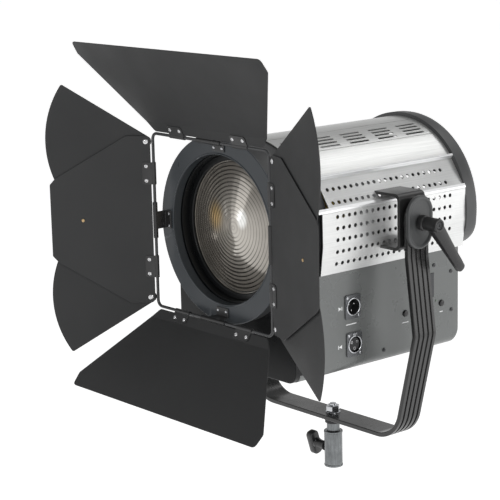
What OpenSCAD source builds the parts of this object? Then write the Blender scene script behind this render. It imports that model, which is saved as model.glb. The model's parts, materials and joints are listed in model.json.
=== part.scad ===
// LED Fresnel spotlight with a four-leaf barn door, a grooved yoke and a socket
// for a stand spigot. Millimetres, +Z up, the light shines along -Y.
// The origin is the centre of the stand socket's lower mouth.
// Head parts are drawn in head axes: the lens axis is y, and y = 0 is the plane
// of the barn door's wire frame.

/* [Barn door] */
// Half of the wire frame's side, between rod centres
frame_half = 113; // [110:1:116]
// Diameter of the wire frame's rod
rod_d = 4; // [3.6:0.1:4.4]
// Length of the top and bottom leaves from their rod
leaf_len = 138; // [128:1:140]
// Half width of the top and bottom leaves at their widest
leaf_half = 184; // [176:1:186]
// Length of the side leaves from their rod
side_len = 136; // [130:1:137]
// Radius of the side leaves' wings
wing_r = 130; // [124:1:131]
// Sheet thickness of leaves and wings
leaf_t = 1.2; // [1:0.1:1.4]
// How far the top leaf stands forward of the wire frame's plane
top_lean = 31; // [25:1:36]
// How far the bottom leaf stands forward of the wire frame's plane
bottom_lean = 42; // [36:1:46]
// How far the right leaf stands forward of the wire frame's plane
right_lean = 18; // [12:1:24]
// How far the left leaf stands forward of the wire frame's plane
left_lean = 45; // [40:1:48]

/* [Head] */
// Outer radius of the barn door ring
ring_r = 119.4; // [117:0.2:120]
// Radius of the visible lens
lens_r = 84; // [80:1:86]
// Outer radius of the body shell
shell_r = 115; // [114:0.5:116]
// Half width of the lower housing
box_half = 112; // [110:0.5:113]
// Depth of the lower housing's floor below the lens axis
box_floor = 182; // [178:1:186]
// Diameter of the perforations
hole_d = 4.4; // [3.6:0.2:4.8]
// Perforations in one row
row_holes = 21; // [15:1:21]

/* [Yoke] */
// Width of the yoke's bar
bar_w = 38; // [34:1:40]
// Thickness of the yoke's bar
bar_t = 6; // [5.5:0.5:6]
// Half length of the yoke's straight bottom
bar_half = 102; // [101:0.5:103]
// Radius of the stand socket's bore
socket_r = 8.1; // [8:0.05:8.2]
// Depth of the stand socket's bore
socket_depth = 42; // [38:1:44]

/* [Hidden] */

// Running clearance between a pin and its bore
fit = 0.05;
// Smoothness of true circles
fine = 96;

// Places: the head's lens axis over the socket mouth, and the pivot
axis_h = 352;
head_y = -202;
pivot_up = 5;
pivot_h = axis_h + pivot_up;

// Yoke: outer face under the bar, bends and lengths along its path
bar_z = 69;
bend_r = 45;
kink_r = 20;
splay = 14;
lean = 7.5;
lower_arm = 109.6;
upper_arm = 95;
groove = 1.5;
cap_t = 5;
cap_h = 68;
cap_w = 44;
web_x = 150;
bolt_r = 5;

// Head stations along the lens axis
ring_y = 15.6;
ring_t = 2;
nose_y = 20;
shell_y = 73;
box_y = 36;
box_rear = 326;
shell_rear = 334;
cap_rear = 357;
notch_y = 95;
panel_start = 80;
cap_low = -60;
hole_y = 105;
pitch = 10;
shell_c = -5;
wall = 2.5;
rail_a = 38;
slot_rows = [71.5, 68, 64.5, 61];
slot_y = 86;
slot_pitch = 50.5;
slot_len = 34;
slot_w = 3.2;
side_x = 117;
side_top = 27;
side_bend = -17;
side_low = -52;
side_low_x = 112.6;

// Focus travel and the pitch of its screw
focus_y = 190;
screw_r = 5;

function arc(cx, cy, r, from, to, n) =
    [for (i = [0:n]) let (a = from + (to - from) * i / n) [cx + r * cos(a), cy + r * sin(a)]];
function round_rect(x0, y0, x1, y1, r) = concat(
    arc(x1 - r, y0 + r, r, -90, 0, 8), arc(x1 - r, y1 - r, r, 0, 90, 8),
    arc(x0 + r, y1 - r, r, 90, 180, 8), arc(x0 + r, y0 + r, r, 180, 270, 8));

// ---- placing ----

module head() translate([0, head_y, axis_h]) children();
// A flat outline in (x, z), drawn out from y0 to y1
module along_y(y0, y1) translate([0, y1, 0]) rotate([90, 0, 0]) linear_extrude(y1 - y0) children();
// A flat outline in (y, z), drawn out from x0 to x1
module along_x(x0, x1) translate([x0, 0, 0]) rotate([90, 0, 90]) linear_extrude(x1 - x0) children();
// A rod, or a bore, between two stations
module rod_y(r, y0, y1) translate([0, y1, 0]) rotate([90, 0, 0]) cylinder(r = r, h = y1 - y0, $fn = fine);
module rod_x(r, x0, x1) translate([x0, 0, 0]) rotate([0, 90, 0]) cylinder(r = r, h = x1 - x0, $fn = fine);
module tube_y(r_out, r_in, y0, y1) difference() {
    rod_y(r_out, y0, y1);
    rod_y(r_in, y0 - 1, y1 + 1);
}
module both_sides() {
    children();
    mirror([1, 0, 0]) children();
}
// One side of the wire frame: 0 right, 1 top, 2 left, 3 bottom. Inside, x runs out
// along the leaf from its rod, y along the rod, z out of the leaf's inner face.
module on_side(side, leaning) head() rotate([0, -90 * side, 0]) translate([frame_half, 0, 0])
    rotate([0, 0, -leaning]) rotate([90, 0, 0]) children();

// ---- yoke ----

// The outer face's line in the x-z plane, from the middle of the bar to past the
// pivot, moved in by some depth. Each point is [x, z].
function step(p, len, h) = [p[0] + len * cos(h), p[1] + len * sin(h)];
function turn_in(p, r, from, to, depth, n) = [for (i = [0:n]) let (h = from + (to - from) * i / n)
    [p[0] + r * (sin(h) - sin(from)) - depth * sin(h), p[1] + r * (cos(from) - cos(h)) + depth * cos(h)]];
function turn_out(p, r, from, to, depth, n) = [for (i = [0:n]) let (h = from + (to - from) * i / n)
    [p[0] - r * (sin(h) - sin(from)) - depth * sin(h), p[1] - r * (cos(from) - cos(h)) + depth * cos(h)]];
p_bend = [bar_half + bend_r * sin(90 - splay), bend_r * (1 - cos(90 - splay))];
p_arm = step(p_bend, lower_arm, 90 - splay);
p_kink = [p_arm[0] + kink_r * (sin(90 + lean) - sin(90 - splay)),
          p_arm[1] + kink_r * (cos(90 - splay) - cos(90 + lean))];
p_top = step(p_kink, upper_arm, 90 + lean);
p_end = [p_top[0] - kink_r * (1 - cos(lean)), p_top[1] + kink_r * sin(lean)];
arm_x = p_end[0];
arm_top = pivot_h - bar_z + 8 + bar_w / 2;
function bar_line(depth) = concat([[0, depth]],
    turn_in([bar_half, 0], bend_r, 0, 90 - splay, depth, 19),
    turn_in(p_arm, kink_r, 90 - splay, 90 + lean, depth, 6),
    turn_out(p_top, kink_r, 90 + lean, 90, depth, 3),
    [[arm_x - depth, arm_top]]);
function reversed(list) = [for (i = [len(list) - 1:-1:0]) list[i]];
module bar_strip(depth_0, depth_1, y0, y1) translate([0, 0, bar_z]) along_y(y0, y1)
    polygon(concat(bar_line(depth_0), reversed(bar_line(depth_1)),
        [for (q = bar_line(depth_1)) [-q[0], q[1]]], reversed([for (q = bar_line(depth_0)) [-q[0], q[1]]])));
module yoke_bar() color("#1d1d1e") difference() {
    bar_strip(0, bar_t, -bar_w / 2, bar_w / 2);
    for (i = [0:3]) let (rib = (bar_w - 4 * 3) / 5, y = -bar_w / 2 + rib + i * (rib + 3))
        bar_strip(-2, groove, y, y + 3);
    translate([0, 0, bar_z - 1]) cylinder(r = bolt_r + 0.1, h = bar_t + 2, $fn = fine);
    both_sides() translate([0, 0, pivot_h]) rod_x(bolt_r + fit, arm_x - bar_t - 1, arm_x + 1);
    // rounded ends of the arms
    along_x(-200, 200) polygon(concat([[-bar_w, pivot_h + 40], [-bar_w, pivot_h + 8], [-bar_w / 2 - 0.01, pivot_h + 8]],
        arc(0, pivot_h + 8, bar_w / 2, 179, 1, 20),
        [[bar_w / 2 + 0.01, pivot_h + 8], [bar_w, pivot_h + 8], [bar_w, pivot_h + 40]]));
}
module oval(grow = 0) polygon(concat(
    arc(0, cap_h / 2 - cap_w / 2, cap_w / 2 + grow, 0, 180, 24),
    arc(0, cap_w / 2 - cap_h / 2, cap_w / 2 + grow, 180, 360, 24)));
module arm_caps() color("#3b3d40") both_sides() translate([0, 0, pivot_h]) difference() {
    union() {
        along_x(arm_x, arm_x + cap_t - 1.5) oval();
        along_x(arm_x + cap_t - 1.6, arm_x + cap_t) difference() {
            oval(-1);
            oval(-5);
        }
    }
    rod_x(bolt_r + fit, arm_x - 1, arm_x + cap_t + 1);
}
module friction_washers() color("#222222") both_sides() translate([0, 0, pivot_h]) difference() {
    rod_x(17, web_x, arm_x - bar_t);
    rod_x(bolt_r + fit, web_x - 1, arm_x);
}

// ---- stand socket ----

neck_r = 8.8;
washer_t = 8;
neck_z = 49;
module stand_receiver() color("#b9bcbf") difference() {
    union() {
        cylinder(r = 12.3, h = neck_z + 1, $fn = fine);
        cylinder(r = 12.9, h = 3, $fn = fine);
        translate([0, 0, neck_z - 2]) cylinder(r = 12.9, h = 3, $fn = fine);
        cylinder(r = neck_r, h = bar_z - washer_t, $fn = fine);
    }
    translate([0, 0, -1]) cylinder(r = socket_r, h = socket_depth + 1, $fn = fine);
    translate([0, 0, socket_depth + 6]) cylinder(r = bolt_r, h = 30, $fn = fine);
    translate([0, 0, knob_z]) rod_x(4 + fit, -20, -socket_r + 2);
}
module receiver_washer() color("#2a2a2b") difference() {
    union() {
        translate([0, 0, bar_z - washer_t]) cylinder(r = 11, h = washer_t, $fn = fine);
        translate([0, 0, bar_z - 4]) cylinder(r = 12, h = 4, $fn = fine);
    }
    translate([0, 0, bar_z - washer_t - 1]) cylinder(r = bolt_r, h = washer_t + 2, $fn = fine);
}
module receiver_bolt() color("#c9ccd0")
    translate([0, 0, socket_depth + 6]) cylinder(r = bolt_r, h = bar_z + bar_t - socket_depth + 7, $fn = fine);
module receiver_nut() color("#d5d8db") difference() {
    translate([0, 0, bar_z + bar_t]) union() {
        cylinder(r = 10, h = 1.5, $fn = fine);
        translate([0, 0, 1.5]) cylinder(r = 9.8, h = 8.5, $fn = 6);
    }
    translate([0, 0, bar_z]) cylinder(r = bolt_r, h = 30, $fn = fine);
}
// The T handle with its screw, which clamps the stand's spigot
knob_z = 24;
module receiver_knob() color("#19191a") translate([0, 0, knob_z]) {
    rod_x(4, -38, -socket_r - 1.5);
    rod_x(7, -33.1, -15);
    rotate([17, 0, 0]) along_x(-44, -33)
        polygon(round_rect(-7.5, -17, 7.5, 17, 5));
}

// ---- front of the head ----

module front_casting() color("#2b2c2e") head() difference() {
    union() {
        translate([0, 0, shell_c]) rod_y(shell_r - 1.5, nose_y, shell_y);
        translate([0, 0, shell_c]) rod_y(shell_r - wall - 0.1, shell_y - 0.1, notch_y);
        along_y(box_y, box_y + 8) polygon(round_rect(-box_half, -box_floor, box_half, side_low, 12));
    }
    rod_y(97.08, nose_y - 1, 28);
    rod_y(92, 27, 60);
    translate([0, 0, shell_c]) difference() {
        rod_y(shell_r - 6, 34, notch_y + 1);
        translate([0, 0, -shell_c]) rod_y(103, 33, 54);
    }
    along_y(box_y + 4, box_y + 9) polygon(round_rect(-box_half + 5, -box_floor + 5, box_half - 5, side_low - 5, 8));
}
module lens_retainer() color("#33363a") head() {
    tube_y(91.9, lens_r, 38, 42);
    tube_y(91.9, lens_r + 1, 48, 53);
}
// The lens: a plano disc whose front is cut into stepped rings that rise to the middle
lens_rings = 15;
lens_core = 13;
function ring_edge(i) = i == 0 ? 0 : lens_core + (lens_r - 1 - lens_core) * (i - 1) / (lens_rings - 1);
function lens_rise(r) = 12.5 - 6.3 * pow(r / lens_r, 2);
module lens() color("#c9c6bd") head() translate([0, 48, 0]) rotate([90, 0, 0])
    rotate_extrude($fn = fine) polygon(concat([[0, 0], [91.8, 0], [91.8, 6], [lens_r - 1, 6]],
        [for (i = [lens_rings:-1:1]) each [
            [ring_edge(i), lens_rise(ring_edge(i)) - 1.4],
            [(ring_edge(i) + ring_edge(i - 1)) / 2, lens_rise((ring_edge(i) + ring_edge(i - 1)) / 2) - 0.1],
            [ring_edge(i - 1) + (i > 1 ? 0.4 : 0), lens_rise(ring_edge(i - 1))]]]));

// ---- body shell ----

module sector(from, to) polygon([[0, 0], for (i = [0:6]) let (a = from + (to - from) * i / 6)
    [220 * cos(a), 220 * sin(a)]]);
module slot_cut(a, y) translate([0, 0, shell_c]) rotate([0, 90 - a, 0]) translate([0, y, shell_r - 6]) {
    cylinder(r = slot_w / 2, h = 12, $fn = fine);
    translate([0, slot_len - slot_w, 0]) cylinder(r = slot_w / 2, h = 12, $fn = fine);
    translate([-slot_w / 2, 0, 0]) cube([slot_w, slot_len - slot_w, 12]);
}
module top_shell() color("#d3d5d6") head() difference() {
    along_y(shell_y, shell_rear) translate([0, shell_c]) difference() {
        intersection() {
            circle(r = shell_r, $fn = fine);
            sector(rail_a, 180 - rail_a);
        }
        circle(r = shell_r - wall, $fn = fine);
    }
    both_sides() for (a = slot_rows) for (i = [0:4]) slot_cut(a, slot_y + i * slot_pitch);
    // fine grooves where the top strip meets the slotted panels
    both_sides() translate([0, 0, shell_c]) rotate([0, 90 - 79, 0])
        translate([-0.4, shell_y - 1, shell_r - 0.8]) cube([0.8, shell_rear - shell_y + 2, 2]);
    both_sides() translate([0, 0, shell_c]) rotate([0, 90 - 58, 0])
        translate([-0.4, shell_y - 1, shell_r - 0.8]) cube([0.8, shell_rear - shell_y + 2, 2]);
}
rail_x = shell_r * cos(rail_a);
rail_z = shell_c + shell_r * sin(rail_a);
// Two facets of perforated sheet on each side, bent along the lower rail
facet_a = atan2(rail_z - 2 - side_top - 2, side_x - 3 - rail_x);
module panel_outline() polygon([
    [rail_x + 0.2, rail_z - 2], [side_x - 3, side_top + 2], [side_x, side_top - 1],
    [side_x + 0.5, side_bend], [side_low_x, side_low], [side_low_x - 2, side_low],
    [side_x - 1.5, side_bend], [side_x - 2, side_top - 2], [side_x - 5, side_top],
    [rail_x - 1.6, rail_z - 3.5]]);
module hole_row(x, z, tilt) for (i = [0:row_holes - 1]) translate([x, hole_y + i * pitch, z])
    rotate([0, 90 - tilt, 0]) translate([0, 0, -6]) cylinder(d = hole_d, h = 12, $fn = fine);
module side_panels() color("#c9ccce") head() both_sides() difference() {
    along_y(shell_y, shell_rear) panel_outline();
    translate([80, shell_y - 1, side_top + 1]) cube([60, notch_y - shell_y + 1, 60]);
    translate([80, shell_y - 1, -80]) cube([60, panel_start - shell_y + 1, 200]);
    hole_row(101.5, 52, 28);
    hole_row(110, 36, 28);
    for (z = [19.5, 5, -9.5]) hole_row(side_x, z, 0);
    for (z = [-24.5, -40]) hole_row(side_x - 2, z, -8);
}
module shell_rails() color("#d9dbdc") head() both_sides() {
    along_y(shell_y, shell_rear) polygon([[rail_x + 0.3, rail_z - 1.9], [rail_x + 0.1, rail_z + 1.9],
        [rail_x + 3.6, rail_z + 3.2], [rail_x + 4.8, rail_z + 1.2], [rail_x + 2.4, rail_z - 3.2]]);
    along_y(shell_y, shell_rear) polygon([[side_x - 2.8, side_top + 2.3], [side_x + 0.2, side_top - 0.7],
        [side_x + 1.4, side_top - 0.7], [side_x + 1.2, side_top + 2], [side_x - 1.2, side_top + 5]]);
}

// ---- lower housing ----

module lower_housing() color("#7b7d7a") head() difference() {
    intersection() {
        along_y(box_y + 8, box_rear) difference() {
            polygon(round_rect(-box_half, -box_floor, box_half, side_low + 12, 12));
            translate([-200, side_low]) square([400, 40]);
        }
        along_x(-box_half - 1, box_half + 1) polygon(round_rect(box_y, -box_floor, box_rear, 0, 9));
    }
    along_y(box_y + 7, box_rear - 6)
        polygon(round_rect(-box_half + 2, -box_floor + 2, box_half - 2, side_low + 20, 10));
    translate([switch_x - 10.5, box_rear - 7, switch_z - 15]) cube([21, 8, 30]);
    translate([inlet_x - 13.5, box_rear - 7, inlet_z - 10]) cube([27, 8, 20]);
    for (c = screw_places) both_sides() translate([0, c[0], c[1]]) rod_x(1.4, box_half - 4, box_half + 1);
    for (c = dmx_places) translate([0, c[0], c[1]]) rod_x(12, box_half - 4, box_half + 1);
    for (c = button_places) translate([0, c[0], c[1]]) rod_x(4.2 + fit, box_half - 4, box_half + 1);
    translate([box_half - 4, display_y, display_z]) cube([5, display_w, display_h]);
}
dmx_places = [[133, -99], [135, -148]];
button_places = [[227, -125], [294, -123]];
display_y = 236;
display_z = -112;
display_w = 44;
display_h = 32;

// A chassis connector's flange, shell and insert, its face towards +X
module connector(male) {
    difference() {
        union() {
            along_x(box_half, box_half + 2) polygon(round_rect(-13, -15.5, 13, 15.5, 2.5));
            rod_x(11.9, box_half - 14, box_half + 3.2);
        }
        rod_x(10, box_half - 11, box_half + 4);
        for (s = [-1, 1]) translate([0, s * -9.6, s * 12.1]) rod_x(1.6, box_half - 1, box_half + 3);
    }
    if (male) for (a = [30, 150, 270]) translate([0, 5.4 * cos(a), 5.4 * sin(a)])
        rod_x(1.2, box_half - 11.5, box_half - 1);
    else difference() {
        rod_x(8.6, box_half - 11.5, box_half + 1.4);
        for (a = [30, 150, 270]) translate([0, 5.4 * cos(a), 5.4 * sin(a)])
            rod_x(1.5, box_half - 9, box_half + 2);
    }
}
module dmx_connectors() color("#a9adb1") head() {
    translate([0, dmx_places[0][0], dmx_places[0][1]]) connector(true);
    translate([0, dmx_places[1][0], dmx_places[1][1]]) connector(false);
}
module display_window() color("#0d0f12") head()
    along_x(box_half - 1.9, box_half + 0.6)
        polygon(round_rect(display_y + 0.1, display_z + 0.1, display_y + display_w - 0.1,
            display_z + display_h - 0.1, 2));
module button(i) head() translate([0, button_places[i][0], button_places[i][1]]) {
    rod_x(4.2, box_half - 2.1, box_half + 2.4);
    rod_x(6, box_half - 4, box_half - 2);
}
module menu_button() color("#151617") button(0);
module set_button() color("#151617") button(1);
screw_places = [[280, -70], [312, -83], [313, -135], [188, -166]];
module housing_screws() color("#a3a6aa") head() for (c = screw_places) both_sides()
    translate([box_half, c[0], c[1]]) {
        rod_x(2.8, 0, 1.5);
        rod_x(1.4, -6, 0.1);
    }

// ---- rear of the head ----

module body_outline(grow) let (r = side_x + grow, foot = box_half + min(grow, 0), a = acos(foot / r))
    polygon(concat([[foot, cap_low]], arc(0, shell_c, r, -a, 180 + a, 64), [[-foot, cap_low]]));
module above(z) intersection() {
    children();
    translate([-200, z]) square([400, 400]);
}
module rear_cap() color("#35373a") head() {
    difference() {
        union() {
            along_y(shell_rear, cap_rear - 8) body_outline(3);
            along_y(cap_rear - 8.1, cap_rear) body_outline(0.5);
        }
        along_y(shell_rear - 1, cap_rear + 1) above(cap_low + 5) body_outline(-4);
    }
    // the sill that closes the gap over the lower housing
    translate([-box_half, box_rear, cap_low]) cube([2 * box_half, shell_rear - box_rear + 0.1, 5]);
}
panel_y = 346;
screw_z = -37;
module rear_panel() color("#2f3133") head() difference() {
    along_y(panel_y, panel_y + 2) above(cap_low + 5.1) body_outline(-4.1);
    for (i = [0:8]) along_y(panel_y - 1, panel_y + 3) vent(-8 + 11 * i);
    translate([0, 0, screw_z]) rod_y(screw_r + fit, panel_y - 1, panel_y + 3);
}
module vent(z) let (half = sqrt(98 * 98 - (z - shell_c) * (z - shell_c)) - 12)
    polygon(round_rect(-half, z - 2.2, half, z + 2.2, 2.1));

// ---- mains fittings in the housing's rear wall ----

switch_x = 60;
switch_z = -125;
inlet_x = -50;
inlet_z = -125;
pin_y = box_rear - 3;
module power_switch() color("#161617") head() translate([switch_x, pin_y, switch_z]) difference() {
    rotate([-8, 0, 0]) along_x(-9, 9)
        polygon([[-6, -7], [4.4, -12.4], [6.8, -12.4], [4.8, 0], [6.8, 12.4], [4.4, 12.4], [-6, 7]]);
    rod_x(1.5 + fit, -10, 10);
}
module mains_fittings() color("#1b1b1c") head() {
    // the switch's frame and its pin
    translate([switch_x, 0, switch_z]) {
        difference() {
            union() {
                along_y(box_rear, box_rear + 1.5) polygon(round_rect(-12.5, -17, 12.5, 17, 2));
                along_y(box_rear - 12, box_rear + 0.1) polygon(round_rect(-10.5, -15, 10.5, 15, 0.5));
            }
            along_y(box_rear - 11, box_rear + 2) polygon(round_rect(-9.4, -13.9, 9.4, 13.9, 0.5));
        }
        translate([0, pin_y, 0]) rod_x(1.5, -9.5, 9.5);
    }
    translate([inlet_x, 0, inlet_z]) {
        difference() {
            union() {
                along_y(box_rear, box_rear + 2.5) polygon(round_rect(-25, -12, 25, 12, 3));
                along_y(box_rear - 20, box_rear + 0.1) polygon(round_rect(-13.5, -10, 13.5, 10, 0.5));
            }
            along_y(box_rear - 18, box_rear + 4) polygon(round_rect(-12, -8.4, 12, 8.4, 2));
        }
        for (c = [[-6.5, -1.5], [0, 3], [6.5, -1.5]]) along_y(box_rear - 18.5, box_rear - 3)
            translate([c[0] - 1, c[1] - 2.2]) square([2, 4.4]);
    }
}

// ---- tilt pivot ----

module tilt_brackets() color("#17181a") head() both_sides() difference() {
    translate([0, -head_y - 23, pivot_up]) difference() {
        translate([104, 0, -36]) cube([web_x - 104, 46, 72]);
        translate([100, -1, -32]) cube([web_x - 104, 48, 64]);
    }
    along_y(150, 250) {
        translate([0, shell_c]) circle(r = shell_r + 0.1, $fn = fine);
        polygon([[0, rail_z + 4], [rail_x + 4.9, rail_z + 4], [side_x - 0.4, side_top + 5.4],
            [side_x + 1.4, side_top + 2.2], [side_x + 1.6, side_top - 0.8],
            [side_x + 0.6, side_top - 0.8], [side_x + 0.6, -60], [0, -60]]);
    }
    translate([0, -head_y, pivot_up]) rod_x(bolt_r, web_x - 5, web_x + 1);
}
lever_x = arm_x + cap_t;
module pivot_bolts() color("#8d9095") head() translate([0, -head_y, pivot_up]) {
    rod_x(bolt_r, web_x - 5, lever_x + 24);
    rod_x(9, web_x - 10, web_x - 4);
    mirror([1, 0, 0]) rod_x(bolt_r, web_x - 5, lever_x + 16);
    mirror([1, 0, 0]) rod_x(9, web_x - 10, web_x - 4);
}
module pivot_nut() color("#2a2b2d") head() mirror([1, 0, 0]) translate([0, -head_y, pivot_up]) difference() {
    union() {
        rod_x(11, lever_x + 0.3, lever_x + 2);
        translate([lever_x + 1.9, 0, 0]) rotate([0, 90, 0]) cylinder(r = 9.8, h = 12, $fn = 6);
    }
    rod_x(bolt_r, lever_x - 1, lever_x + 20);
}
lever_len = 74;
lever_a = 36;
module tilt_lever() color("#161718") head() translate([0, -head_y, pivot_up]) difference() {
    union() {
        rod_x(10, lever_x + 0.3, lever_x + 9);
        rod_x(8.6, lever_x + 8.9, lever_x + 32);
        translate([lever_x + 22, 0, 0]) rotate([lever_a, 0, 0]) hull() {
            translate([0, 0, -4]) cylinder(r = 9.5, h = 1, $fn = 32);
            translate([4, 0, -lever_len]) cylinder(r = 6.5, h = 4, $fn = 32);
            translate([4, 0, -lever_len - 3]) cylinder(r = 4, h = 3, $fn = 32);
        }
    }
    rod_x(bolt_r + fit, lever_x - 1, lever_x + 24.5);
    rod_x(2, lever_x + 20, lever_x + 33);
    rod_x(5.2, lever_x + 29, lever_x + 33);
}
module lever_screw() color("#c4c7ca") head() translate([0, -head_y, pivot_up]) {
    rod_x(4.6, lever_x + 29, lever_x + 31);
    rod_x(2, lever_x + 24.5, lever_x + 29.1);
}

// ---- inside the head ----

rod_place = [88, -46];
module guide_rods() color("#b8bbbe") head() both_sides() translate([rod_place[0], 0, rod_place[1]])
    rod_y(4, 54, panel_y);
module led_carriage() color("#8f9396") head() difference() {
    along_y(focus_y, focus_y + 6) {
        polygon(round_rect(-62, -52, 62, 56, 6));
        polygon(round_rect(-97, -54, 97, -36, 6));
    }
    both_sides() translate([rod_place[0], 0, rod_place[1]]) rod_y(4 + fit, focus_y - 1, focus_y + 7);
    translate([0, 0, screw_z]) rod_y(screw_r + fit, focus_y - 1, focus_y + 7);
}
module led_module() color("#e6d27a") head() {
    along_y(focus_y - 3, focus_y) polygon(round_rect(-22, -22, 22, 22, 2));
    tube_y(29, 23, focus_y - 12, focus_y - 3);
}
module heatsink() color("#9da1a4") head() {
    along_y(focus_y + 6, focus_y + 12) polygon(round_rect(-58, -29, 58, 54, 2));
    for (i = [0:13]) translate([-58 + i * 8.75, focus_y + 11.9, -29]) cube([2.2, 28.1, 83]);
}
fan_z = 12;
module fan_frame() color("#1a1a1b") head() translate([0, 0, fan_z]) difference() {
    along_y(focus_y + 40, focus_y + 56) polygon(round_rect(-40, -40, 40, 40, 5));
    difference() {
        rod_y(37.5, focus_y + 39, focus_y + 57);
        // three spokes and a hub carry the motor on the front side
        rod_y(15, focus_y + 38, focus_y + 43);
        for (a = [30, 150, 270]) rotate([0, a, 0]) translate([-2, focus_y + 40, 0]) cube([4, 3, 50]);
    }
}
module fan_rotor() color("#222325") head() translate([0, 0, fan_z]) {
    rod_y(15, focus_y + 43.5, focus_y + 54);
    for (i = [0:6]) rotate([0, 360 / 7 * i, 0]) translate([-7, focus_y + 45, 14])
        rotate([0, 0, 28]) cube([14, 1.6, 22]);
}
module lead_screw() color("#b0b3b6") head() translate([0, 0, screw_z])
    rod_y(screw_r, 116, panel_y + 16);
module focus_knob() color("#131314") head() translate([0, 0, screw_z]) difference() {
    union() {
        rod_y(14.5, panel_y + 3, panel_y + 17);
        rod_y(12.5, panel_y + 16.9, panel_y + 22);
        for (i = [0:17]) rotate([0, 20 * i, 0]) translate([-1.2, panel_y + 4, 13.5]) cube([2.4, 12, 2.4]);
    }
    rod_y(screw_r, panel_y + 2, panel_y + 16);
}
module power_supply() color("#a7a9a6") head() along_y(110, 250)
    polygon(round_rect(-80, -box_floor + 2, 60, -box_floor + 46, 3));
module control_board() color("#1e5a34") head() {
    along_x(box_half - 16, box_half - 14.4) polygon(round_rect(208, -150, 312, -68, 3));
    for (c = [[213, -145], [213, -73], [307, -145], [307, -73]]) translate([0, c[0], c[1]])
        rod_x(2.5, box_half - 14.5, box_half - 2);
}

// ---- barn door ----

ring_in = 94.6;
module barndoor_ring() color("#343a42") head() difference() {
    union() {
        rod_y(ring_r, ring_y, ring_y + ring_t);
        rod_y(97, ring_y, 27);
    }
    rod_y(ring_in, ring_y - 1, 28);
}
tab_half = 23.5;
module barndoor_tabs() color("#151617") for (s = [0:3]) head() rotate([0, -90 * s, 0]) difference() {
    union() {
        // sleeve round the rod
        translate([frame_half, 0, -tab_half]) cylinder(r = 3.2, h = 2 * tab_half, $fn = fine);
        // strap back to the ring, then a foot on its face
        along_y(0, ring_y) polygon([[frame_half - 3.2, -11.5], [frame_half - 1.8, -11.5],
            [frame_half - 1.8, 11.5], [frame_half - 3.2, 11.5]]);
        along_y(ring_y - 1.4, ring_y) polygon(round_rect(frame_half - 14, -11.5, frame_half - 1.8, 11.5, 1));
    }
    translate([frame_half, 0, -tab_half - 1]) cylinder(d = rod_d, h = 2 * tab_half + 2, $fn = fine);
}
module tab_rivets() color("#d8dadc") for (s = [0:3]) for (z = [-7.8, 7.8]) head() rotate([0, -90 * s, 0])
    translate([103.5, 0, z]) rod_y(1.9, ring_y - 2.6, ring_y - 1.4);
corner_r = 8;
module barndoor_frame() color("#3c3d3f") for (s = [0:3]) head() rotate([0, -90 * s, 0]) {
    translate([frame_half, 0, corner_r - frame_half])
        cylinder(d = rod_d, h = 2 * (frame_half - corner_r), $fn = fine);
    translate([frame_half - corner_r, 0, frame_half - corner_r]) rotate([90, 0, 0])
        rotate_extrude(angle = 90, $fn = fine) translate([corner_r, 0]) circle(d = rod_d, $fn = fine);
}

// A clip rolled round the rod and riveted to a leaf's inner face
clip_w = 29;
clip_at = 61;
clip_len = 15;
barrel_r = 3;
module clips(side, leaning) on_side(side, leaning) for (s = [-1, 1]) translate([0, s * clip_at, 0]) difference() {
    union() {
        translate([0, clip_w / 2, 0]) rotate([90, 0, 0]) cylinder(r = barrel_r, h = clip_w, $fn = fine);
        translate([0, -clip_w / 2, leaf_t / 2]) cube([clip_len, clip_w, 1]);
    }
    translate([0, clip_w / 2 + 1, 0]) rotate([90, 0, 0]) cylinder(r = rod_d / 2 + fit, h = clip_w + 2, $fn = fine);
}
rivet_r = 1.8;
module rivet(x, y) translate([x, y, leaf_t / 2 + 1]) cylinder(r = rivet_r, h = 1.1, $fn = fine);
module clip_rivets() for (s = [-1, 1]) for (t = [-1, 1])
    rivet(clip_len - 5.5, s * clip_at + t * 9.4);

// Outline and bend of the top and bottom leaves
flange = 17;
leaf_from = 3.6;
bend_a = 11;
module wide_leaf() {
    // the strip at the rod, turned a little from the leaf itself
    linear_extrude(leaf_t, center = true)
        polygon([[leaf_from, -105.5], [flange, -116.6], [flange, 116.6], [leaf_from, 105.5]]);
    translate([flange, 0, 0]) rotate([0, -bend_a, 0]) linear_extrude(leaf_t, center = true)
        polygon([[-0.05, -116.6], [leaf_len - flange - 19, -leaf_half], [leaf_len - flange - 3, -leaf_half + 1.5],
                 [leaf_len - flange, -leaf_half + 4.5], [leaf_len - flange, leaf_half - 4.5],
                 [leaf_len - flange - 3, leaf_half - 1.5], [leaf_len - flange - 19, leaf_half], [-0.05, 116.6]]);
}
// The strip leans less than the leaf, so that the leaf's tip stays on its line
function strip_lean(whole) = whole - asin(sin(bend_a) * (leaf_len - flange) / leaf_len);
module door_top() color("#3d3e40") on_side(1, strip_lean(top_lean)) wide_leaf();
module door_top_clips() color("#1b1c1d") clips(1, strip_lean(top_lean));
module door_top_rivets() color("#d8dadc") on_side(1, strip_lean(top_lean)) clip_rivets();
module door_bottom() color("#3d3e40") on_side(3, strip_lean(bottom_lean)) wide_leaf();
module door_bottom_clips() color("#1b1c1d") clips(3, strip_lean(bottom_lean));
module door_bottom_rivets() color("#d8dadc") on_side(3, strip_lean(bottom_lean)) clip_rivets();

// Side leaves: a six-sided sheet with a pivot for a wing near each end of its rod
pivot_u = 9.4;
pivot_v = 102;
wing_pin_r = 2;
stop_u = 94;
module side_leaf() difference() {
    linear_extrude(leaf_t, center = true) polygon(concat(
        [[side_len, -47], [side_len, 47], [side_len - 7, 54.6], [35, 109.6], [23, 109.6]],
        arc(leaf_from + 5, 103.5, 5, 90, 180, 6), arc(leaf_from + 5, -103.5, 5, 180, 270, 6),
        [[23, -109.6], [35, -109.6], [side_len - 7, -54.6]]));
    for (s = [-1, 1]) translate([pivot_u, s * pivot_v, -2]) cylinder(r = wing_pin_r, h = 4, $fn = fine);
}
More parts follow.
